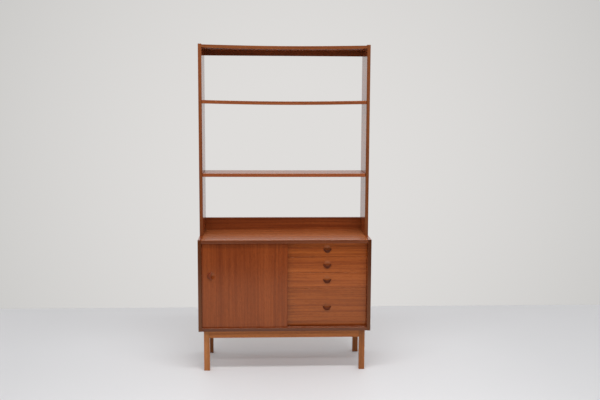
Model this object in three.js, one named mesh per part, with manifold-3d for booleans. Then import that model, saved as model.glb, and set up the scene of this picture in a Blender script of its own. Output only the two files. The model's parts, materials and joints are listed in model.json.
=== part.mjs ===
// A teak bookcase: an open upper unit with two adjustable shelves stands on a lower case with a sliding
// door and four drawers, and the case stands on a four-legged base.
// Millimetres, +Z up. The origin is on the floor, in the middle of the width and of the whole depth.
// The front faces -Y, and +X is to the right of somebody who looks at the front.
import * as THREE from "three";
import { mergeVertices } from "three/addons/utils/BufferGeometryUtils.js";
import Module from "manifold-3d";

const wasm = await Module();
wasm.setup();

// ---- Driving dimensions ----------------------------------------------------------------------------
const WIDTH = 900; // over the sides, of the upper unit and the case alike
const BOARD = 18; // thickness of every carcase board and shelf
const BASE_HEIGHT = 218;
const CASE_HEIGHT = 484;
const CASE_DEPTH = 364;
const UPPER_HEIGHT = 1006;
const UPPER_DEPTH = 214;

// Upper unit
const TOP_BOARD_DROP = 4; // the sides stand this far above the top board
const TOP_RAIL = { height: 28, thickness: 16 };
const LOWER_RAIL = { height: 68, thickness: 18 };
const SHELF_MIDDLES = { upper_shelf: 707, lower_shelf: 322 }; // middle of each shelf above the case top
const SHELF_SETBACK = 1; // behind the front edge of the sides, and short of their back edge
const SHELF_END_GAP = 0.5;

// Concealed wire supports, one at each end of a shelf, and their rows of holes
const WIRE_RADIUS = 1.5;
const WIRE_STANDOFF = 3; // from the wall to the middle of the wire
const WIRE_LEG = 8; // how far its bent ends reach into the wall
const HOLE = { radius: 2, depth: 10, pitch: 55 };
const SHELF_GROOVE = { height: 4, depth: 5, stop: 15 }; // stop: solid wood left at the front end
const UPPER_WIRE = { front: 30, back: 188 }; // from the front edge of the upper unit's sides
const UPPER_HOLE_ROWS = { below: 3, above: 9 }; // rows below and above the lower shelf
const INNER_WIRE = { front: 35, back: 275 }; // from the front edge of the inner shelf
const INNER_HOLE_ROWS = { below: 2, above: 2 };

// Lower case
const BACK_PANEL = { thickness: 6, setback: 4 };
const PARTITION_LEFT = -4; // X of its left face
const PARTITION_SETBACK = 26; // behind the front edge of the case
const INNER_SHELF = { middle: 251, front: 43, depth: 305 }; // height above the case's underside

// Sliding door, in a groove in the underside of the case top and one in the case bottom
const DOOR = { setback: 14, thickness: 9, right: 14.5, sideGap: 0.5 };
const DOOR_GROOVE = { clearance: 0.5, top: 12, bottom: 5 };
const DOOR_FLOOR_GAP = 0.5;
const DOOR_TOP_GAP = 5.5; // room to lift the door out of its bottom groove
const DOOR_PULL = { fromEdge: 41, height: 294 }; // height above the case's underside

// Drawers, from the top down
const DRAWER_SETBACK = 40; // fronts behind the front edge of the case, so that the door passes the pulls
const SMALL_FRONTS = [76, 83, 83]; // heights of the upper fronts; the last drawer takes what is left
const DRAWER_COUNT = SMALL_FRONTS.length + 1;
const DRAWER_GAP = 1; // round each front
const TOP_DRAWER_GAP = 2;
const BOTTOM_DRAWER_GAP = 2;
const FRONT_THICKNESS = 16;
const DRAWER_SIDE = { thickness: 12, wallGap: 1.5, length: 272, topStep: 16, bottomStep: 3 };
const DRAWER_BACK = { thickness: 10, inset: 2, topStep: 4 };
const DRAWER_BOTTOM = { thickness: 5, height: 8, grooveDepth: 5.5, grooveHeight: 5.5 };
const RUNNER = { width: 7, height: 10, endGap: 4, length: 286 };
const RUNNER_GROOVE = { bottom: 26, height: 11, depth: 6.5 };
const PULL_DROPS = [6, 8, 4, 7]; // middle of each pull below the middle of its drawer front

// Half-moon pull: half a bowl with a dipped upper edge, and a finger hollow behind its lip
const PULL = { width: 42, height: 24, depth: 13, dip: 6 };
const PULL_HOLLOW = { width: 33, height: 18, depth: 9 };
const PULL_DISH = { width: 38, depth: 2.5 }; // round dish in the wood behind and above the lip

// Base
const LEG = 30;
const BASE_INSET = 26; // from the case's sides and front
const BASE_BACK_INSET = 3;
const RAIL = { height: 42, thickness: 20, setback: 3 };

// Facets of the round shapes, and how far a cutter runs past the face that it opens
const ROD_SIDES = 10;
const SPHERE_RINGS = 8;
const BOWL_SIDES = 28;
const BOWL_RINGS = 18;
const DIP_SIDES = 96;
const DISH_SIDES = 24;
const DISH_RINGS = 48; // from pole to pole of the whole sphere
const OVERRUN = 1;

// ---- Planes that several pieces share --------------------------------------------------------------
const HALF_WIDTH = WIDTH / 2;
const INNER_HALF = HALF_WIDTH - BOARD;
const PULL_PROUD = PULL.depth - DOOR.setback; // the door's pull against the case front
const PROUD = Math.max(PULL_PROUD, 0);
const BACK = (CASE_DEPTH + PROUD) / 2;
const FRONT = BACK - CASE_DEPTH;
const UPPER_FRONT = BACK - UPPER_DEPTH;
const CASE_FLOOR = BOARD; // heights inside the case count from its underside
const CASE_CEILING = CASE_HEIGHT - BOARD;
const PARTITION_RIGHT = PARTITION_LEFT + BOARD;
const BACK_PANEL_FRONT = BACK - BACK_PANEL.setback - BACK_PANEL.thickness;
const DOOR_FRONT = FRONT + DOOR.setback;
const DRAWER_FRONT = FRONT + DRAWER_SETBACK;

// ---- Materials -------------------------------------------------------------------------------------
const finish = (color, roughness, metalness = 0) =>
  new THREE.MeshStandardMaterial({ color, roughness, metalness });

const teakCase = () => finish(0x8a4a2c, 0.42);
const teakDoor = () => finish(0x84452a, 0.4);
const teakDrawer = () => finish(0x96532f, 0.42);
const darkPull = () => finish(0x4a2618, 0.38);
const baseTeak = () => finish(0xa5642f, 0.45);
const drawerWood = () => finish(0xc9a878, 0.6);
const plywood = () => finish(0x9a6a44, 0.65);
const steelWire = () => finish(0x9a9a98, 0.3, 1);

// ---- Geometry helpers ------------------------------------------------------------------------------
function solidOf(geometry) {
  const bare = geometry.clone();
  bare.deleteAttribute("normal");
  bare.deleteAttribute("uv");
  const merged = mergeVertices(bare);
  return new wasm.Manifold(
    new wasm.Mesh({
      numProp: 3,
      vertProperties: merged.attributes.position.array,
      triVerts: new Uint32Array(merged.index.array),
    }),
  );
}

function geometryOf(solid) {
  const mesh = solid.getMesh();
  const geometry = new THREE.BufferGeometry();
  geometry.setAttribute("position", new THREE.BufferAttribute(mesh.vertProperties, 3));
  geometry.setIndex(new THREE.BufferAttribute(mesh.triVerts, 1));
  geometry.computeVertexNormals();
  return geometry;
}

function cut(geometry, cutters) {
  const solid = cutters.reduce((rest, cutter) => rest.subtract(solidOf(cutter)), solidOf(geometry));
  return geometryOf(solid);
}

function join(geometries) {
  const solid = geometries.map(solidOf).reduce((sum, next) => sum.add(next));
  return geometryOf(solid);
}

// A box from its lowest to its highest corner.
function block(low, high) {
  const [x, y, z] = high.map((value, axis) => value - low[axis]);
  const geometry = new THREE.BoxGeometry(x, y, z);
  return geometry.translate(low[0] + x / 2, low[1] + y / 2, low[2] + z / 2);
}

const shapeOf = (points) => new THREE.Shape(points.map(([a, b]) => new THREE.Vector2(a, b)));

// A section given as [y, z] points, run from x = low to x = high.
function runAlongX(points, low, high) {
  const geometry = new THREE.ExtrudeGeometry(shapeOf(points), { depth: high - low, bevelEnabled: false });
  geometry.applyMatrix4(new THREE.Matrix4().set(0, 0, 1, low, 1, 0, 0, 0, 0, 1, 0, 0, 0, 0, 0, 1));
  return geometry;
}

// A section given as [x, z] points, run from y = low to y = high.
function runAlongY(points, low, high) {
  const geometry = new THREE.ExtrudeGeometry(shapeOf(points), { depth: high - low, bevelEnabled: false });
  geometry.applyMatrix4(new THREE.Matrix4().set(1, 0, 0, 0, 0, 0, -1, high, 0, 1, 0, 0, 0, 0, 0, 1));
  return geometry;
}

// A rod along X, for the holes, and along Y, for the straight run of a wire.
const rod = (radius, length) => new THREE.CylinderGeometry(radius, radius, length, ROD_SIDES);
const rodAlongX = (radius, x0, x1, y, z) =>
  rod(radius, x1 - x0).rotateZ(Math.PI / 2).translate((x0 + x1) / 2, y, z);
const rodAlongY = (radius, y0, y1, x, z) => rod(radius, y1 - y0).translate(x, (y0 + y1) / 2, z);

function piece(parent, name, geometry, material) {
  const mesh = new THREE.Mesh(geometry, material);
  mesh.name = name;
  parent.add(mesh);
  return mesh;
}

// ---- Shelves and their wire supports ---------------------------------------------------------------
// Blind holes in the wall at x = wall, bored along -X or +X, at two depths and at each row's height.
function wireHoles(wall, direction, depths, heights) {
  const ends = [wall - direction * OVERRUN, wall + direction * HOLE.depth].sort((a, b) => a - b);
  return heights.flatMap((z) => depths.map((y) => rodAlongX(HOLE.radius, ends[0], ends[1], y, z)));
}

const holeRows = (middle, { below, above }) =>
  Array.from({ length: below + above + 1 }, (_, row) => middle + (row - below) * HOLE.pitch);

// A wire with both ends bent into the wall. direction is +1 where the wall lies on the +X side.
function supportWire(wall, direction, front, back, z) {
  const run = wall - direction * WIRE_STANDOFF;
  const ends = [run, wall + direction * WIRE_LEG].sort((a, b) => a - b);
  const corner = (y) => new THREE.SphereGeometry(WIRE_RADIUS, ROD_SIDES, SPHERE_RINGS).translate(run, y, z);
  const leg = (y) => rodAlongX(WIRE_RADIUS, ends[0], ends[1], y, z);
  const straight = rodAlongY(WIRE_RADIUS, front, back, run, z);
  return join([straight, corner(front), corner(back), leg(front), leg(back)]);
}

// A shelf between two walls, with a groove at each end that slides over its wire from the front.
function groovedShelf(left, right, front, back, z) {
  const low = [left + SHELF_END_GAP, front, z - BOARD / 2];
  const high = [right - SHELF_END_GAP, back, z + BOARD / 2];
  const groove = (x0, x1) =>
    block(
      [x0, front + SHELF_GROOVE.stop, z - SHELF_GROOVE.height / 2],
      [x1, back + OVERRUN, z + SHELF_GROOVE.height / 2],
    );
  return cut(block(low, high), [
    groove(low[0] - OVERRUN, low[0] + SHELF_GROOVE.depth),
    groove(high[0] - SHELF_GROOVE.depth, high[0] + OVERRUN),
  ]);
}

// ---- Upper unit: heights count from the case top ---------------------------------------------------
function upperUnit() {
  const unit = new THREE.Group();
  const wireDepths = [UPPER_FRONT + UPPER_WIRE.front, UPPER_FRONT + UPPER_WIRE.back];
  const rows = holeRows(SHELF_MIDDLES.lower_shelf, UPPER_HOLE_ROWS);
  for (const [side, direction] of [["left", -1], ["right", 1]]) {
    const faces = [direction * INNER_HALF, direction * HALF_WIDTH].sort((a, b) => a - b);
    const board = block([faces[0], UPPER_FRONT, 0], [faces[1], BACK, UPPER_HEIGHT]);
    const holes = wireHoles(direction * INNER_HALF, direction, wireDepths, rows);
    piece(unit, `upper_side_${side}`, cut(board, holes), teakCase());
  }
  const boardTop = UPPER_HEIGHT - TOP_BOARD_DROP;
  const boardUnder = boardTop - BOARD;
  const topBoard = block([-INNER_HALF, UPPER_FRONT, boardUnder], [INNER_HALF, BACK, boardTop]);
  piece(unit, "top_board", topBoard, teakCase());
  const topRail = block(
    [-INNER_HALF, BACK - TOP_RAIL.thickness, boardUnder - TOP_RAIL.height],
    [INNER_HALF, BACK, boardUnder],
  );
  piece(unit, "top_back_rail", topRail, teakCase());
  const lowerRail = block(
    [-INNER_HALF, BACK - LOWER_RAIL.thickness, 0],
    [INNER_HALF, BACK, LOWER_RAIL.height],
  );
  piece(unit, "lower_back_rail", lowerRail, teakCase());
  for (const [name, middle] of Object.entries(SHELF_MIDDLES)) {
    const front = UPPER_FRONT + SHELF_SETBACK;
    const shelf = groovedShelf(-INNER_HALF, INNER_HALF, front, BACK - SHELF_SETBACK, middle);
    piece(unit, name, shelf, teakCase());
    for (const [side, direction] of [["left", -1], ["right", 1]]) {
      const wire = supportWire(direction * INNER_HALF, direction, wireDepths[0], wireDepths[1], middle);
      piece(unit, `${name}_wire_${side}`, wire, steelWire());
    }
  }
  return unit;
}

// ---- Lower case: heights count from its underside --------------------------------------------------
// The case top or bottom, with the door's groove cut into one of its faces, as deep as grooveEnd.
function groovedBoard(grooveFace, otherFace, grooveEnd) {
  const front = DOOR_FRONT - DOOR_GROOVE.clearance;
  const back = DOOR_FRONT + DOOR.thickness + DOOR_GROOVE.clearance;
  const section = [
    [FRONT, grooveFace],
    [front, grooveFace],
    [front, grooveEnd],
    [back, grooveEnd],
    [back, grooveFace],
    [BACK, grooveFace],
    [BACK, otherFace],
    [FRONT, otherFace],
  ];
  return runAlongX(section, -INNER_HALF, INNER_HALF);
}

function lowerCase() {
  const unit = new THREE.Group();
  const shelfFront = FRONT + INNER_SHELF.front;
  const wireDepths = [shelfFront + INNER_WIRE.front, shelfFront + INNER_WIRE.back];
  const rows = holeRows(INNER_SHELF.middle, INNER_HOLE_ROWS);
  const leftSide = block([-HALF_WIDTH, FRONT, 0], [-INNER_HALF, BACK, CASE_HEIGHT]);
  const rightSide = block([INNER_HALF, FRONT, 0], [HALF_WIDTH, BACK, CASE_HEIGHT]);
  piece(unit, "case_side_left", cut(leftSide, wireHoles(-INNER_HALF, -1, wireDepths, rows)), teakCase());
  piece(unit, "case_side_right", rightSide, teakCase());
  const top = groovedBoard(CASE_CEILING, CASE_HEIGHT, CASE_CEILING + DOOR_GROOVE.top);
  piece(unit, "case_top", top, teakCase());
  const bottom = groovedBoard(CASE_FLOOR, 0, CASE_FLOOR - DOOR_GROOVE.bottom);
  piece(unit, "case_bottom", bottom, teakCase());
  const panel = block(
    [-INNER_HALF, BACK_PANEL_FRONT, CASE_FLOOR],
    [INNER_HALF, BACK_PANEL_FRONT + BACK_PANEL.thickness, CASE_CEILING],
  );
  piece(unit, "case_back_panel", panel, plywood());
  const partition = block(
    [PARTITION_LEFT, FRONT + PARTITION_SETBACK, CASE_FLOOR],
    [PARTITION_RIGHT, BACK_PANEL_FRONT, CASE_CEILING],
  );
  piece(unit, "partition", cut(partition, wireHoles(PARTITION_LEFT, 1, wireDepths, rows)), teakCase());
  const shelfBack = shelfFront + INNER_SHELF.depth;
  const shelf = groovedShelf(-INNER_HALF, PARTITION_LEFT, shelfFront, shelfBack, INNER_SHELF.middle);
  piece(unit, "inner_shelf", shelf, teakCase());
  for (const [side, direction, wall] of [["left", -1, -INNER_HALF], ["right", 1, PARTITION_LEFT]]) {
    const wire = supportWire(wall, direction, wireDepths[0], wireDepths[1], INNER_SHELF.middle);
    piece(unit, `inner_shelf_wire_${side}`, wire, steelWire());
  }
  return unit;
}

// ---- Half-moon pull: its back face is at local y = 0 and it stands out towards -Y -------------------
function pull() {
  const edge = PULL.height / 2;
  const half = PULL.width / 2;
  const bowl = ({ width, height, depth }) =>
    new THREE.SphereGeometry(1, BOWL_SIDES, BOWL_RINGS).scale(width / 2, depth, height).translate(0, 0, edge);
  const inFront = block([-half, -PULL.depth, -edge], [half, 0, edge]);
  const dipRadius = (half ** 2 + PULL.dip ** 2) / (2 * PULL.dip);
  const dip = new THREE.CylinderGeometry(dipRadius, dipRadius, 2 * PULL.width, DIP_SIDES);
  dip.translate(0, 0, edge - PULL.dip + dipRadius);
  const lower = solidOf(bowl(PULL)).intersect(solidOf(inFront));
  return geometryOf(lower.subtract(solidOf(bowl(PULL_HOLLOW))).subtract(solidOf(dip)));
}

// The sphere that cuts the dish, in the pull's own place.
function dishCutter() {
  const rim = PULL_DISH.width / 2;
  const radius = (rim ** 2 + PULL_DISH.depth ** 2) / (2 * PULL_DISH.depth);
  const sphere = new THREE.SphereGeometry(radius, DISH_SIDES, DISH_RINGS);
  return sphere.translate(0, PULL_DISH.depth - radius, PULL.height / 2);
}

// ---- Sliding door: heights count from the underside of the case ------------------------------------
function slidingDoor() {
  const unit = new THREE.Group();
  const left = -INNER_HALF + DOOR.sideGap;
  const bottom = CASE_FLOOR - DOOR_GROOVE.bottom + DOOR_FLOOR_GAP;
  const top = CASE_CEILING + DOOR_GROOVE.top - DOOR_TOP_GAP;
  const panel = block([left, DOOR_FRONT, bottom], [DOOR.right, DOOR_FRONT + DOOR.thickness, top]);
  const pullPlace = [left + DOOR_PULL.fromEdge, DOOR_FRONT, DOOR_PULL.height];
  const dish = dishCutter().rotateY(Math.PI / 2).translate(...pullPlace);
  piece(unit, "sliding_door", cut(panel, [dish]), teakDoor());
  const doorPull = piece(unit, "door_pull", pull().rotateY(Math.PI / 2), darkPull());
  doorPull.position.set(...pullPlace);
  return unit;
}

// ---- Drawers ---------------------------------------------------------------------------------------
// Bottom and top of each front, and of the sides behind it, above the case's underside.
function drawerHeights(number) {
  const isBottom = number === DRAWER_COUNT;
  const above = SMALL_FRONTS.slice(0, number - 1).reduce((sum, height) => sum + height + DRAWER_GAP, 0);
  const top = CASE_CEILING - TOP_DRAWER_GAP - above;
  const bottom = isBottom ? CASE_FLOOR + BOTTOM_DRAWER_GAP : top - SMALL_FRONTS[number - 1];
  const sideBottom = isBottom ? CASE_FLOOR : bottom + DRAWER_SIDE.bottomStep;
  return { bottom, top, sideBottom, sideTop: top - DRAWER_SIDE.topStep, isBottom };
}

// The side's section as [x, z] points: x runs from its outer face (0) to its inner face.
function drawerSideSection(height, hasRunner) {
  const inner = DRAWER_SIDE.thickness;
  const slot = DRAWER_BOTTOM;
  const grooveFloor = inner - slot.grooveDepth;
  const points = [
    [0, 0],
    [inner, 0],
    [inner, slot.height],
    [grooveFloor, slot.height],
    [grooveFloor, slot.height + slot.grooveHeight],
    [inner, slot.height + slot.grooveHeight],
    [inner, height],
    [0, height],
  ];
  const runnerGroove = [
    [0, RUNNER_GROOVE.bottom + RUNNER_GROOVE.height],
    [RUNNER_GROOVE.depth, RUNNER_GROOVE.bottom + RUNNER_GROOVE.height],
    [RUNNER_GROOVE.depth, RUNNER_GROOVE.bottom],
    [0, RUNNER_GROOVE.bottom],
  ];
  return hasRunner ? points.concat(runnerGroove) : points;
}

function drawer(number) {
  const unit = new THREE.Group();
  const name = `drawer_${number}`;
  const { bottom, top, sideBottom, sideTop, isBottom } = drawerHeights(number);
  const frontBack = DRAWER_FRONT + FRONT_THICKNESS;
  const left = PARTITION_RIGHT + DRAWER_GAP;
  const right = INNER_HALF - DRAWER_GAP;
  const slotFloor = sideBottom + DRAWER_BOTTOM.height;
  const frontSection = [
    [DRAWER_FRONT, bottom],
    [frontBack, bottom],
    [frontBack, slotFloor],
    [frontBack - DRAWER_BOTTOM.grooveDepth, slotFloor],
    [frontBack - DRAWER_BOTTOM.grooveDepth, slotFloor + DRAWER_BOTTOM.grooveHeight],
    [frontBack, slotFloor + DRAWER_BOTTOM.grooveHeight],
    [frontBack, top],
    [DRAWER_FRONT, top],
  ];
  const pullPlace = [(left + right) / 2, DRAWER_FRONT, (bottom + top) / 2 - PULL_DROPS[number - 1]];
  const front = cut(runAlongX(frontSection, left, right), [dishCutter().translate(...pullPlace)]);
  piece(unit, `${name}_front`, front, teakDrawer());

  const boxLeft = PARTITION_RIGHT + DRAWER_SIDE.wallGap;
  const boxRight = INNER_HALF - DRAWER_SIDE.wallGap;
  const sideEnd = frontBack + DRAWER_SIDE.length;
  const section = drawerSideSection(sideTop - sideBottom, !isBottom);
  const placed = (origin, direction) => section.map(([x, z]) => [origin + direction * x, sideBottom + z]);
  piece(unit, `${name}_side_left`, runAlongY(placed(boxLeft, 1), frontBack, sideEnd), drawerWood());
  piece(unit, `${name}_side_right`, runAlongY(placed(boxRight, -1), frontBack, sideEnd), drawerWood());

  const inside = [boxLeft + DRAWER_SIDE.thickness, boxRight - DRAWER_SIDE.thickness];
  const grip = DRAWER_BOTTOM.grooveDepth - DRAWER_GAP / 2;
  const floorTop = slotFloor + DRAWER_BOTTOM.thickness;
  const floor = block(
    [inside[0] - grip, frontBack - grip, slotFloor],
    [inside[1] + grip, sideEnd, floorTop],
  );
  piece(unit, `${name}_bottom`, floor, plywood());
  const backEnd = sideEnd - DRAWER_BACK.inset;
  const back = block(
    [inside[0], backEnd - DRAWER_BACK.thickness, floorTop],
    [inside[1], backEnd, sideTop - DRAWER_BACK.topStep],
  );
  piece(unit, `${name}_back`, back, drawerWood());

  const drawerPull = piece(unit, `${name}_pull`, pull(), darkPull());
  drawerPull.position.set(...pullPlace);
  return unit;
}

// The strips on the partition and on the right side that the upper three drawers run on.
function runners(number) {
  const unit = new THREE.Group();
  const { sideBottom } = drawerHeights(number);
  const front = DRAWER_FRONT + FRONT_THICKNESS + RUNNER.endGap;
  const bottom = sideBottom + RUNNER_GROOVE.bottom + (RUNNER_GROOVE.height - RUNNER.height) / 2;
  const strip = (x0, x1) => block([x0, front, bottom], [x1, front + RUNNER.length, bottom + RUNNER.height]);
  const left = strip(PARTITION_RIGHT, PARTITION_RIGHT + RUNNER.width);
  const right = strip(INNER_HALF - RUNNER.width, INNER_HALF);
  piece(unit, `drawer_${number}_runner_left`, left, drawerWood());
  piece(unit, `drawer_${number}_runner_right`, right, drawerWood());
  return unit;
}

// ---- Base: four legs joined by four rails -----------------------------------------------------------
function base() {
  const unit = new THREE.Group();
  const legOuter = HALF_WIDTH - BASE_INSET;
  const legInner = legOuter - LEG;
  const frontFace = FRONT + BASE_INSET;
  const backFace = BACK - BASE_BACK_INSET;
  const legDepths = { front: [frontFace, frontFace + LEG], back: [backFace - LEG, backFace] };
  const legWidths = { left: [-legOuter, -legInner], right: [legInner, legOuter] };
  for (const [depthName, [y0, y1]] of Object.entries(legDepths)) {
    for (const [sideName, [x0, x1]] of Object.entries(legWidths)) {
      piece(unit, `leg_${depthName}_${sideName}`, block([x0, y0, 0], [x1, y1, BASE_HEIGHT]), baseTeak());
    }
  }
  const railBottom = BASE_HEIGHT - RAIL.height;
  const frontRailY = frontFace + RAIL.setback;
  const backRailY = backFace - RAIL.setback - RAIL.thickness;
  for (const [name, y] of [["base_rail_front", frontRailY], ["base_rail_back", backRailY]]) {
    const rail = block([-legInner, y, railBottom], [legInner, y + RAIL.thickness, BASE_HEIGHT]);
    piece(unit, name, rail, baseTeak());
  }
  const sideRailX = legOuter - RAIL.setback - RAIL.thickness;
  const sideRails = [["base_rail_left", -sideRailX - RAIL.thickness], ["base_rail_right", sideRailX]];
  for (const [name, x] of sideRails) {
    const low = [x, legDepths.front[1], railBottom];
    const rail = block(low, [x + RAIL.thickness, legDepths.back[0], BASE_HEIGHT]);
    piece(unit, name, rail, baseTeak());
  }
  return unit;
}

// ---- The whole bookcase ----------------------------------------------------------------------------
const bookcase = new THREE.Group();
bookcase.add(base());

const caseGroup = lowerCase();
caseGroup.position.z = BASE_HEIGHT;
caseGroup.add(slidingDoor());
for (let number = 1; number <= DRAWER_COUNT; number += 1) {
  caseGroup.add(drawer(number));
  if (number < DRAWER_COUNT) {
    caseGroup.add(runners(number));
  }
}
bookcase.add(caseGroup);

const upperGroup = upperUnit();
upperGroup.position.z = BASE_HEIGHT + CASE_HEIGHT;
bookcase.add(upperGroup);

export default bookcase;
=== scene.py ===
import json
import math
import random

import bmesh
import bpy
from mathutils import Matrix, Vector


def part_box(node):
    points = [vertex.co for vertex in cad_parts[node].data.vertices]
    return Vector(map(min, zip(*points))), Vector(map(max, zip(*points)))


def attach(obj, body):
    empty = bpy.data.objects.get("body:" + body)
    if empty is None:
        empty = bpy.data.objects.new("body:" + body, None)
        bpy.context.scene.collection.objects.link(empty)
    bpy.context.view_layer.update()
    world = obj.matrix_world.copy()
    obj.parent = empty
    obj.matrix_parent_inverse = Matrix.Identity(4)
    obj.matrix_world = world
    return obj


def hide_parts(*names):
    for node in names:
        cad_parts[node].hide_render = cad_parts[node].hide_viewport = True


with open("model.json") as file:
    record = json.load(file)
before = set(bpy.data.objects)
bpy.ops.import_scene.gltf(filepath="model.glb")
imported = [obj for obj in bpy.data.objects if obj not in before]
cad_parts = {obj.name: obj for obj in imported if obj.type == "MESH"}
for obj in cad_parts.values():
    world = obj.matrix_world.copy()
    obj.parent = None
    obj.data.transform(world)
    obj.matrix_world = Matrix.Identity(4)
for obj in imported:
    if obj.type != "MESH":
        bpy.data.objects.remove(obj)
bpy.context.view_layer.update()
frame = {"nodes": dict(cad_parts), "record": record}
scene = bpy.context.scene
FIGURE_SEED = 6
draw = random.Random(FIGURE_SEED)

X, Y, Z = 0, 1, 2
SIDES = ("left", "right")
DRAWERS = (1, 2, 3, 4)
NO_TINT = (1.0, 1.0, 1.0)

# ---- Camera ----------------------------------------------------------------------------------------
CAMERA_PLACE = Vector((-0.1092, -4.3151, 1.4153))
CAMERA_YAW = 0.04494  # turned to the right
CAMERA_PITCH = 0.12149  # tipped down
CAMERA_ROLL = 0.00441
CAMERA_LENS = 48.68
CAMERA_SENSOR = 36


def add_camera():
    forward = Vector(
        (
            math.sin(CAMERA_YAW) * math.cos(CAMERA_PITCH),
            math.cos(CAMERA_YAW) * math.cos(CAMERA_PITCH),
            -math.sin(CAMERA_PITCH),
        )
    )
    level = Vector((math.cos(CAMERA_YAW), -math.sin(CAMERA_YAW), 0))
    roll = Matrix.Rotation(-CAMERA_ROLL, 3, forward)
    right = roll @ level
    up = right.cross(forward)
    camera = bpy.data.objects.new("camera", bpy.data.cameras.new("camera"))
    camera.data.lens = CAMERA_LENS
    camera.data.sensor_width = CAMERA_SENSOR
    camera.matrix_world = Matrix((right, up, -forward)).transposed().to_4x4()
    camera.location = CAMERA_PLACE
    scene.collection.objects.link(camera)
    scene.camera = camera


# ---- Node trees ------------------------------------------------------------------------------------
# The sockets of a Mix node that mixes colours
MIX_INPUTS = (0, 6, 7)  # the factor and the two colours
MIX_RESULT = 2
BUMP_DEPTH = 0.0001


class Tree:
    """A node tree that is written one node at a time, with its links given as inputs."""

    def __init__(self, owner):
        owner.use_nodes = True
        self.nodes = owner.node_tree.nodes
        self.links = owner.node_tree.links
        self.nodes.clear()

    def feed(self, socket, value):
        """Gives an input a fixed value, or links it to an output."""
        if isinstance(value, bpy.types.NodeSocket):
            self.links.new(value, socket)
        else:
            socket.default_value = value

    def add(self, kind, inputs=None, **settings):
        node = self.nodes.new(kind)
        for key, value in settings.items():
            setattr(node, key, value)
        for key, value in (inputs or {}).items():
            self.feed(node.inputs[key], value)
        return node

    def coordinates(self, kind):
        return self.add("ShaderNodeTexCoord").outputs[kind]

    def split(self, vector):
        return self.add("ShaderNodeSeparateXYZ", {0: vector}).outputs

    def math(self, operation, a, b=0.0, c=0.0):
        return self.add("ShaderNodeMath", {0: a, 1: b, 2: c}, operation=operation).outputs[0]

    def product(self, a, b):
        return self.math("MULTIPLY", a, b)

    def vector(self, operation, a, b=(0, 0, 0), output="Vector"):
        return self.add("ShaderNodeVectorMath", {0: a, 1: b}, operation=operation).outputs[output]

    def scaled(self, vector, scale):
        return self.add("ShaderNodeMapping", {"Vector": vector, "Scale": scale}).outputs[0]

    def noise(self, vector, detail=2.0, roughness=0.5, scale=1.0, output="Fac"):
        node = self.add(
            "ShaderNodeTexNoise",
            {"Vector": vector, "Scale": scale, "Detail": detail, "Roughness": roughness},
        )
        return node.outputs[output]

    def mix(self, factor, a, b, blend="MIX"):
        node = self.add("ShaderNodeMix", data_type="RGBA", blend_type=blend)
        for number, value in zip(MIX_INPUTS, (factor, a, b)):
            self.feed(node.inputs[number], value)
        return node.outputs[MIX_RESULT]

    def tinted(self, colour, tint):
        return self.mix(1.0, colour, tint, "MULTIPLY")

    def as_grey(self, level):
        return self.add("ShaderNodeCombineColor", dict.fromkeys(range(3), level)).outputs[0]

    def ranged(self, value, low, high, to_low, to_high):
        node = self.add(
            "ShaderNodeMapRange",
            {
                "Value": value,
                "From Min": low,
                "From Max": high,
                "To Min": to_low,
                "To Max": to_high,
            },
        )
        return node.outputs[0]

    def smooth_step(self, value, low, high):
        node = self.add(
            "ShaderNodeMapRange",
            {"Value": value, "From Min": low, "From Max": high},
            interpolation_type="SMOOTHSTEP",
        )
        return node.outputs[0]

    def ramp(self, value, stops):
        """A colour ramp; each stop is a position and a colour."""
        node = self.add("ShaderNodeValToRGB", {"Fac": value})
        elements = node.color_ramp.elements
        for number, (position, colour) in enumerate((stops[0], stops[-1])):
            elements[number].position = position
            elements[number].color = colour
        for position, colour in stops[1:-1]:
            elements.new(position).color = colour
        return node.outputs[0]

    def bump(self, height, strength):
        inputs = {"Height": height, "Strength": strength, "Distance": BUMP_DEPTH}
        return self.add("ShaderNodeBump", inputs).outputs[0]

    def surface(self, inputs):
        """The shader of a material, and the material's output."""
        shader = self.add("ShaderNodeBsdfPrincipled", inputs)
        self.add("ShaderNodeOutputMaterial", {"Surface": shader.outputs[0]})


def srgb(*channels):
    """A colour given as 0-255 sRGB, as linear RGBA, by the curve of the sRGB standard."""
    linear = [
        (c / 255) / 12.92 if c <= 10 else ((c / 255 + 0.055) / 1.055) ** 2.4
        for c in channels
    ]
    return (*linear, 1.0)


def grey(level):
    return (level, level, level, 1.0)


def along_axis(grain, along, across):
    return tuple(along if axis == grain else across for axis in range(3))


# ---- Wood ------------------------------------------------------------------------------------------
MOST_SHIFT = 5  # metres that a board's figure is moved by at most, at random
# How often each layer of the figure changes in a metre: along the fibres and across them
SWAY_RATE = (1.6, 5.0)
BROAD_RATE = (0.6, 7.0)
FIBRE_RATE = (16.0, 800.0)
PORE_RATE = (45.0, 1400.0)
BAND_RATE_ALONG = 0.7
LINE_RATE_ALONG = 1.1
BANDS_PER_LINE = 0.3
SWAY_WIDTH = 0.02
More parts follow.
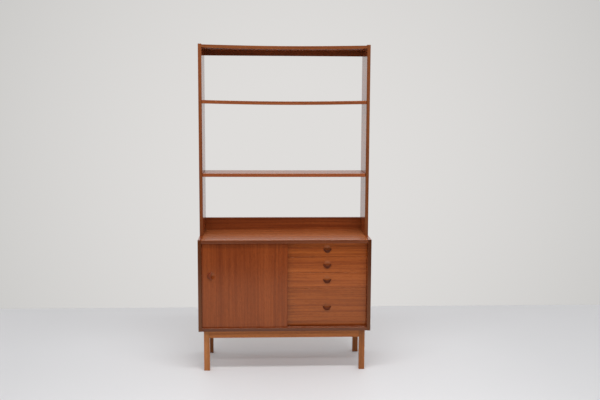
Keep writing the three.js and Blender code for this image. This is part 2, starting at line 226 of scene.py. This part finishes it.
# Where the noise of a layer turns from its dark to its light side, and how much it counts in the tone
BROAD_TURN, BROAD_SHARE = (0.25, 0.75), 0.25
BAND_TURN, BAND_SHARE = (0.25, 0.75), 0.25
LINE_TURN, LINE_SHARE = (0.3, 0.7), 0.50
PORE_TURN = (0.60, 0.68)
TONE_PLACES = (0.15, 0.5, 0.85)
MIDDLE_TONE = 0.5
FIBRE_SHADES = (0.2, 0.8, 0.9, 1.1)  # the noise from and to, the shade from and to
PORE_TINT = (0.35, 0.3, 0.28, 1.0)
PORE_SHARE = 0.45
# lighter arrises: partly wear, partly a painted highlight
WEAR_AND_HIGHLIGHT_TINT = (1.35, 1.3, 1.25, 1.0)
WEAR_AND_HIGHLIGHT_SHARE = 0.25
FRONT_TURN = (-0.6, -0.8)  # the normal's part along Y, from the other faces to the front edge
ARRIS_TURN = (0.98, 0.85)  # the normal's largest part, from a flat face to an arris
GLOSS_NOISE = (0.25, 0.75)
GLOSS_SPREAD = (-0.03, 0.05)  # what the noise of the fibres changes the roughness by
FIBRE_HEIGHT = 0.5  # of the depth of a pore


def wood(
    name,
    grain,
    tones,
    shade,
    line_spacing=0.011,
    contrast=1.0,
    roughness=0.17,
    gloss_level=0.8,
    gloss_tint=(1.0, 0.63, 0.42, 1.0),
    lipping=None,
    relief=0.1,
):
    """Straight-grained wood under a thin lacquer; grain is the axis that the fibres run along."""
    material = bpy.data.materials.new(name)
    tree = Tree(material)
    shift = tuple(draw.uniform(-MOST_SHIFT, MOST_SHIFT) for _ in range(3))
    spot = tree.vector("ADD", tree.coordinates("Object"), shift)
    # the fibres sway slowly from side to side
    sway = tree.noise(tree.scaled(spot, along_axis(grain, *SWAY_RATE)), detail=1.0, output="Color")
    sway = tree.vector("SUBTRACT", sway, (0.5, 0.5, 0.5))
    wavy = tree.vector("ADD", spot, tree.vector("MULTIPLY", sway, along_axis(grain, 0.0, SWAY_WIDTH)))

    def layer(rate_along, rate_across, **settings):
        return tree.noise(tree.scaled(wavy, along_axis(grain, rate_along, rate_across)), **settings)

    broad = layer(*BROAD_RATE, detail=1.0)
    bands = layer(BAND_RATE_ALONG, BANDS_PER_LINE / line_spacing, detail=1.0)
    lines = layer(LINE_RATE_ALONG, 1 / line_spacing, detail=3.0, roughness=0.7)
    fibre = layer(*FIBRE_RATE, roughness=0.6)
    pore = tree.smooth_step(layer(*PORE_RATE, detail=0.0), *PORE_TURN)
    broad_part = tree.product(tree.smooth_step(broad, *BROAD_TURN), BROAD_SHARE)
    band_part = tree.product(tree.smooth_step(bands, *BAND_TURN), BAND_SHARE)
    line_part = tree.product(tree.smooth_step(lines, *LINE_TURN), LINE_SHARE)
    tone = tree.math("ADD", tree.math("ADD", broad_part, band_part), line_part)
    tone = tree.math("MULTIPLY_ADD", tree.math("SUBTRACT", tone, MIDDLE_TONE), contrast, MIDDLE_TONE)
    colour = tree.ramp(tone, list(zip(TONE_PLACES, tones)))
    colour = tree.tinted(colour, tree.as_grey(tree.ranged(fibre, *FIBRE_SHADES)))
    colour = tree.mix(tree.product(pore, PORE_SHARE), colour, tree.tinted(colour, PORE_TINT))

    normal = tree.add("ShaderNodeNewGeometry").outputs["Normal"]
    shaded = tree.tinted(colour, shade)
    if lipping:  # solid wood glued along the front edge
        front = tree.smooth_step(tree.split(normal)[Y], *FRONT_TURN)
        shaded = tree.mix(front, shaded, tree.tinted(colour, lipping))
    # rubbed arrises, lighter as wear and as a painted highlight: where the surface looks along no axis
    parts = tree.split(tree.vector("ABSOLUTE", normal))
    most = tree.math("MAXIMUM", tree.math("MAXIMUM", parts[X], parts[Y]), parts[Z])
    arris = tree.product(tree.smooth_step(most, *ARRIS_TURN), WEAR_AND_HIGHLIGHT_SHARE)
    colour = tree.mix(arris, shaded, tree.tinted(shaded, WEAR_AND_HIGHLIGHT_TINT))

    gloss = tree.ranged(fibre, *GLOSS_NOISE, *(roughness + change for change in GLOSS_SPREAD))
    height = tree.math("SUBTRACT", tree.product(fibre, FIBRE_HEIGHT), pore)
    tree.surface(
        {
            "Base Color": colour,
            "Roughness": gloss,
            "Normal": tree.bump(height, relief),
            "Specular IOR Level": gloss_level,
            "Specular Tint": gloss_tint,
        }
    )
    return material


# ---- Finishes --------------------------------------------------------------------------------------
# The tones run from dark to light
FINISHES = {
    "case": dict(tones=(srgb(120, 53, 23), srgb(138, 65, 29), srgb(152, 76, 36))),
    "door": dict(tones=(srgb(118, 50, 19), srgb(134, 60, 24), srgb(147, 70, 30)), line_spacing=0.013),
    "drawer": dict(
        tones=(srgb(136, 64, 27), srgb(158, 80, 34), srgb(176, 94, 43)),
        line_spacing=0.010,
        contrast=1.15,
    ),
    "base": dict(tones=(srgb(146, 82, 40), srgb(166, 98, 50), srgb(182, 112, 60)), gloss_level=0.6),
    # the pulls' dark tones are partly their wood and partly painted shade
    "pull": dict(
        tones=(srgb(70, 28, 14), srgb(88, 37, 19), srgb(104, 46, 26)), roughness=0.35, gloss_level=0.3
    ),
    "beech": dict(tones=(srgb(186, 150, 108), srgb(205, 172, 130), srgb(218, 190, 150)), roughness=0.5),
    "ply": dict(tones=(srgb(120, 78, 50), srgb(146, 98, 64), srgb(166, 116, 78)), roughness=0.55),
}
SLOTS = {
    "case": "teak_case",
    "door": "teak_door",
    "drawer": "teak_drawer",
    "base": "base_teak",
    "pull": "dark_pull",
    "beech": "drawer_wood",
    "ply": "plywood",
}
# How much lighter or darker a board is than its finish: its red, green and blue; mostly the board's own
# tone, with painted light or painted shade where marked
SHADES = {
    # the case top is lighter and paler: painted light from above and a painted reflection
    "case_top": (1.6, 2.25, 2.9),
    # darker in red: painted shade under the top board
    "top_back_rail": (0.9, 1.0, 1.2),
    "top_board": (0.85, 0.95, 1.1),
    "upper_shelf": (0.95, 1.05, 1.2),
    "lower_shelf": (1.1, 1.25, 1.5),
    "lower_back_rail": (1.15, 1.25, 1.3),
    "upper_side_left": (0.8, 0.85, 0.95),
    "upper_side_right": (0.85, 0.9, 1.0),
    # lighter to make up for the shade of the case top's overhang: painted light
    "drawer_1_front": (1.18, 1.18, 1.1),
    "drawer_4_front": (0.9, 0.9, 0.88),
    "sliding_door": (0.94, 0.94, 0.9),
    "base_rail_front": (1.12, 1.13, 1.1),
    "leg_front_left": (1.06, 1.2, 1.42),
    "leg_front_right": (0.8, 0.82, 0.9),
    # the back legs are darker: painted shade under the case
    "leg_back_left": (0.55, 0.55, 0.55),
    "leg_back_right": (0.62, 0.62, 0.62),
    # the door pull is the same wood with less painted shade: a lighter copy of the pulls' finish
    "door_pull": (1.7, 1.8, 2.0),
}
# The same for the solid strip along a board's front edge
LIPPINGS = {
    "case_top": (0.68, 0.78, 0.94),
    "case_bottom": (0.42, 0.43, 0.46),
    "case_side_left": (0.39, 0.45, 0.54),
    "case_side_right": (0.33, 0.37, 0.43),
    "upper_side_left": (0.78, 0.98, 1.3),
    "upper_side_right": (0.78, 1.12, 1.55),
    "top_board": (0.85, 1.2, 1.7),
    "upper_shelf": (1.05, 1.4, 2.0),
    "lower_shelf": (1.18, 1.42, 1.85),
}
# What some boards have of their own, by the name of wood()'s parameter
OWN_SETTINGS = {
    "gloss_tint": {"case_top": (1.0, 0.85, 0.75, 1.0), "case_bottom": (1.0, 0.74, 0.58, 1.0)},
    "roughness": {"top_board": 0.12, "case_top": 0.21, "lower_shelf": 0.25},
    "relief": {
        "top_board": 0.015,
        "upper_shelf": 0.04,
        "lower_shelf": 0.04,
        "upper_side_left": 0.04,
        "upper_side_right": 0.04,
    },
}


def finish_for(node, kind, grain):
    settings = dict(FINISHES[kind], shade=(*SHADES.get(node, NO_TINT), 1.0))
    if node in LIPPINGS:
        settings["lipping"] = (*LIPPINGS[node], 1.0)
    for setting, values in OWN_SETTINGS.items():
        if node in values:
            settings[setting] = values[node]
    return wood(f"{SLOTS[kind]}_{node}", grain, **settings)


# ---- Boards ----------------------------------------------------------------------------------------
# The finish of each board that is still flat, and the axis that its fibres run along
BOARDS = {
    "upper_side_left": ("case", Z),
    "upper_side_right": ("case", Z),
    "top_back_rail": ("case", X),
    "lower_back_rail": ("case", X),
    "case_side_left": ("case", Z),
    "case_side_right": ("case", Z),
    "case_top": ("case", X),
    "case_bottom": ("case", X),
    "case_back_panel": ("ply", X),
    "partition": ("case", Z),
    "inner_shelf": ("case", X),
    "sliding_door": ("door", Z),
}
for side in SIDES:
    for depth in ("front", "back"):
        BOARDS[f"leg_{depth}_{side}"] = ("base", Z)
    BOARDS[f"base_rail_{side}"] = ("base", Y)
for depth in ("front", "back"):
    BOARDS[f"base_rail_{depth}"] = ("base", X)
for number in DRAWERS:
    name = f"drawer_{number}"
    BOARDS[f"{name}_front"] = ("drawer", X)
    BOARDS[f"{name}_bottom"] = ("ply", X)
    BOARDS[f"{name}_back"] = ("beech", X)
    for side in SIDES:
        BOARDS[f"{name}_side_{side}"] = ("beech", Y)
        if number < DRAWERS[-1]:  # the lowest drawer runs on the case bottom
            BOARDS[f"{name}_runner_{side}"] = ("beech", Y)
# Boards that have sunk: how far in the middle of the front edge, and the share of that at the back
SAGS = {"top_board": (0.0058, 0.0), "upper_shelf": (0.0057, 1.0), "lower_shelf": (0.0006, 1.0)}
SAG_STEPS = 24
# The axis that the fibres of a pull run along
PULLS = {f"drawer_{number}_pull": X for number in DRAWERS} | {"door_pull": Z}

WELD_DISTANCE = 2e-5
FLAT_ANGLE = math.radians(0.5)
ARRIS_ANGLE = math.radians(40)
SHORTEST_ARRIS = 0.004
SAME_PLACE = 1e-5
ARRIS_RADIUS = 0.0008
ARRIS_RADII = {
    "case_top": 0.0018,
    "case_bottom": 0.0024,
    "top_board": 0.0014,
    "upper_shelf": 0.0016,
    "lower_shelf": 0.0018,
    **dict.fromkeys(PULLS, 0.0012),
}
SOFT_LOWER_FRONT = {"top_board": 0.005}
# Boards that slide on a face of the case, and how far they are drawn above it
SLIDES_ON_CASE = ("drawer_4_side_left", "drawer_4_side_right")
SLIDING_CLEARANCE = 0.0001

body_of = {
    node: body
    for body, nodes in frame["record"]["behaviour"]["bodies"].items()
    for node in nodes
}


def clean_copy(node):
    """A CAD node's mesh with its vertices welded and its flat faces whole."""
    mesh = bmesh.new()
    mesh.from_mesh(frame["nodes"][node].data)
    bmesh.ops.remove_doubles(mesh, verts=mesh.verts, dist=WELD_DISTANCE)
    bmesh.ops.dissolve_limit(mesh, angle_limit=FLAT_ANGLE, verts=mesh.verts, edges=mesh.edges)
    return mesh


def rounded(mesh, edges, radius, **settings):
    bmesh.ops.bevel(
        mesh,
        geom=edges,
        offset=radius,
        offset_type="OFFSET",
        profile=0.5,
        affect="EDGES",
        **settings,
    )


def round_arrises(mesh, radius):
    edges = [
        e
        for e in mesh.edges
        if len(e.link_faces) == 2
        and e.calc_face_angle(0) > ARRIS_ANGLE
        and e.calc_length() > SHORTEST_ARRIS
    ]
    rounded(mesh, edges, radius, segments=3, clamp_overlap=True)


def soften_lower_front(mesh, radius):
    """Rounds the arris along the bottom of the front face by more than the others."""
    front, bottom = (min(vertex.co[axis] for vertex in mesh.verts) for axis in (Y, Z))

    def on_the_arris(vertex):
        return abs(vertex.co.y - front) < SAME_PLACE and abs(vertex.co.z - bottom) < SAME_PLACE

    edges = [e for e in mesh.edges if all(on_the_arris(vertex) for vertex in e.verts)]
    rounded(mesh, edges, radius, segments=6)


def object_of(name, mesh, material):
    for face in mesh.faces:
        face.smooth = True
    data = bpy.data.meshes.new(name)
    mesh.to_mesh(data)
    mesh.free()
    for attribute in ("custom_normal", "sharp_edge", "sharp_face"):
        if attribute in data.attributes:
            data.attributes.remove(data.attributes[attribute])
    data.materials.clear()
    data.materials.append(material)
    made = bpy.data.objects.new(name, data)
    scene.collection.objects.link(made)
    weighted = made.modifiers.new("flat faces", "WEIGHTED_NORMAL")
    weighted.keep_sharp = True
    return made


def place(made, node):
    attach(made, body_of[node])
    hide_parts(node)


def cut_across(mesh, low, high):
    """Cuts a board into short lengths, so that it can bend."""
    for step in range(1, SAG_STEPS):
        x = low.x + (high.x - low.x) * step / SAG_STEPS
        bmesh.ops.bisect_plane(
            mesh,
            geom=mesh.verts[:] + mesh.edges[:] + mesh.faces[:],
            plane_co=(x, 0, 0),
            plane_no=(1, 0, 0),
        )


def board(node, kind, grain, sag=None):
    mesh = clean_copy(node)
    if sag:
        cut_across(mesh, *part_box(node))
    if node in SOFT_LOWER_FRONT:
        soften_lower_front(mesh, SOFT_LOWER_FRONT[node])
    round_arrises(mesh, ARRIS_RADII.get(node, ARRIS_RADIUS))
    if node in SLIDES_ON_CASE:
        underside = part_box(node)[0].z
        for vertex in mesh.verts:
            vertex.co.z = max(vertex.co.z, underside + SLIDING_CLEARANCE)
    if sag:
        for vertex in mesh.verts:
            vertex.co.z -= sag(vertex.co)
    made = object_of(node + "_wood", mesh, finish_for(node, kind, grain))
    place(made, node)


def beam_sag(node, depth, back_share):
    """How far a board between two walls has sunk at a point: most in the middle of its front edge."""
    low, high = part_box(node)
    half = (high.x - low.x) / 2

    def sag(point):
        across = min(1.0, abs(point.x) / half)
        along = (point.y - low.y) / (high.y - low.y)
        share = 1 - (1 - back_share) * along
        # the curve of a beam on two supports under an even load
        return depth * share * (1 - across**2) * (5 - across**2) / 5

    return sag


# ---- Wires -----------------------------------------------------------------------------------------
STEEL_TONES = srgb(120, 118, 114), srgb(200, 199, 196)
STEEL_RATE = (900, 30, 900)  # fine lines along Y
STEEL_ROUGHNESS = (0.22, 0.4)
STEEL_RELIEF = 0.1


def steel():
    material = bpy.data.materials.new("steel_wire")
    tree = Tree(material)
    drawn = tree.noise(tree.scaled(tree.coordinates("Object"), STEEL_RATE), detail=2.0)
    tree.surface(
        {
            "Base Color": tree.ramp(drawn, list(zip((0.0, 1.0), STEEL_TONES))),
            "Metallic": 1.0,
            "Roughness": tree.ranged(drawn, 0.0, 1.0, *STEEL_ROUGHNESS),
            "Normal": tree.bump(drawn, STEEL_RELIEF),
        }
    )
    for shelf in ("upper_shelf", "lower_shelf", "inner_shelf"):
        for side in SIDES:
            frame["nodes"][f"{shelf}_wire_{side}"].material_slots[0].material = material


# ---- Floor -----------------------------------------------------------------------------------------
# The corners; the background begins beyond the far edge
FLOOR_LOW, FLOOR_HIGH = Vector((-5.0, -5.0)), Vector((5.0, 1.17))
FLOOR_TONE = srgb(233, 233, 235)
FLOOR_CLOUD = 0.97  # the share of the tone where the cloudy pattern is darkest
FLOOR_ROUGHNESS = 0.6
# Painted shade, away from the middle and towards the far end: the place from and to, the share of the
# tone from and to
FLOOR_SIDES_PAINTED_SHADE = (0.45, 1.45, 1.0, 0.93)
FLOOR_DEPTHS_PAINTED_SHADE = (-0.6, 1.0, 0.94, 1.06)
SHEET_END = (-2.35, -2.6)  # where the pale sheet under the bookcase ends, in front of it
ROOM_FLOOR_TONE = srgb(60, 60, 60)


def floor():
    low, high = FLOOR_LOW, FLOOR_HIGH
    mesh = bpy.data.meshes.new("floor")
    mesh.from_pydata(
        [(low.x, low.y, 0), (high.x, low.y, 0), (high.x, high.y, 0), (low.x, high.y, 0)],
        [],
        [(0, 1, 2, 3)],
    )
    made = bpy.data.objects.new("floor", mesh)
    scene.collection.objects.link(made)
    material = bpy.data.materials.new("floor_paint")
    tree = Tree(material)
    spot = tree.coordinates("Object")
    cloud = tree.noise(spot, detail=3.0, scale=1.5)
    cloud_tone = (*(FLOOR_CLOUD * channel for channel in FLOOR_TONE[:3]), 1.0)
    colour = tree.mix(cloud, cloud_tone, FLOOR_TONE)
    # painted shade: the sheet is a little darker towards its sides and its near end
    across, depth = tree.split(spot)[:2]
    share = tree.product(
        tree.ranged(tree.math("ABSOLUTE", across), *FLOOR_SIDES_PAINTED_SHADE),
        tree.ranged(depth, *FLOOR_DEPTHS_PAINTED_SHADE),
    )
    colour = tree.tinted(colour, tree.as_grey(share))
    # in a gloss, the floor of the room beyond the pale sheet is dark
    beyond = tree.smooth_step(depth, *SHEET_END)
    in_gloss = tree.add("ShaderNodeLightPath").outputs["Is Glossy Ray"]
    colour = tree.mix(tree.product(beyond, in_gloss), colour, ROOM_FLOOR_TONE)
    tree.surface({"Base Color": colour, "Roughness": FLOOR_ROUGHNESS})
    mesh.materials.append(material)


# ---- Room ------------------------------------------------------------------------------------------
STRIPS = {"near": (-1.18, 35.8), "middle": (-2.86, 36.1)}  # depth, watts
STRIP_LENGTH = 2.6
STRIP_WIDTH = 0.35
STRIP_HEIGHT = 2.72
STRIP_MIDDLE = 0.12
# How bright the walls and the ceiling are, as what they light and as what shows in a gloss
SKY = {"back": 1.24, "up": 0.48, "front": 0.53}
SKY_IN_GLOSS = {"back": 0.74, "up": 0.30, "front": 0.05}
# Where a direction turns from the front to the back, and from the walls to the ceiling
BACK_TURN = (-0.25, 0.25)
CEILING_TURN = (0.45, 0.75)
# What the camera sees behind the bookcase: a tone that is brightest in one direction
BACKGROUND_TONES = srgb(203, 202, 200), srgb(223, 221, 219)
GLOW_WAY = (0.04, 0.9965, -0.08)  # the direction of its middle
GLOW_EDGE, GLOW_MIDDLE = 0.92, 0.995  # cosines of the angles from the glow's middle


def strip(name, y, power):
    light = bpy.data.lights.new(name, "AREA")
    light.shape = "RECTANGLE"
    light.size = STRIP_LENGTH
    light.size_y = STRIP_WIDTH
    light.energy = power
    made = bpy.data.objects.new(name, light)
    made.location = (STRIP_MIDDLE, y, STRIP_HEIGHT)
    scene.collection.objects.link(made)


def room():
    floor()
    for name, (y, power) in STRIPS.items():
        strip("strip_" + name, y, power)
    world = bpy.data.worlds.new("room")
    scene.world = world
    tree = Tree(world)
    rays = tree.add("ShaderNodeLightPath").outputs
    direction = tree.coordinates("Generated")
    parts = tree.split(direction)
    behind = tree.smooth_step(parts[Y], *BACK_TURN)
    above = tree.smooth_step(parts[Z], *CEILING_TURN)
    glow = tree.vector("DOT_PRODUCT", direction, GLOW_WAY, output="Value")
    glow = tree.ranged(glow, GLOW_EDGE, GLOW_MIDDLE, 0.0, 1.0)

    def sky(levels):
        around = tree.mix(behind, grey(levels["front"]), grey(levels["back"]))
        return tree.mix(above, around, grey(levels["up"]))

    ambient = tree.mix(rays["Is Glossy Ray"], sky(SKY), sky(SKY_IN_GLOSS))
    ambient = tree.add("ShaderNodeBackground", {"Color": ambient}).outputs[0]
    shown = tree.add("ShaderNodeBackground", {"Color": tree.mix(glow, *BACKGROUND_TONES)}).outputs[0]
    mixed = tree.add("ShaderNodeMixShader", {0: rays["Is Camera Ray"], 1: ambient, 2: shown}).outputs[0]
    tree.add("ShaderNodeOutputWorld", {"Surface": mixed})
    scene.view_settings.view_transform = "Standard"


add_camera()
room()
for node, (kind, grain) in BOARDS.items():
    board(node, kind, grain)
for node, (depth, back_share) in SAGS.items():
    board(node, "case", X, sag=beam_sag(node, depth, back_share))
for node, grain in PULLS.items():
    board(node, "pull", grain)
steel()
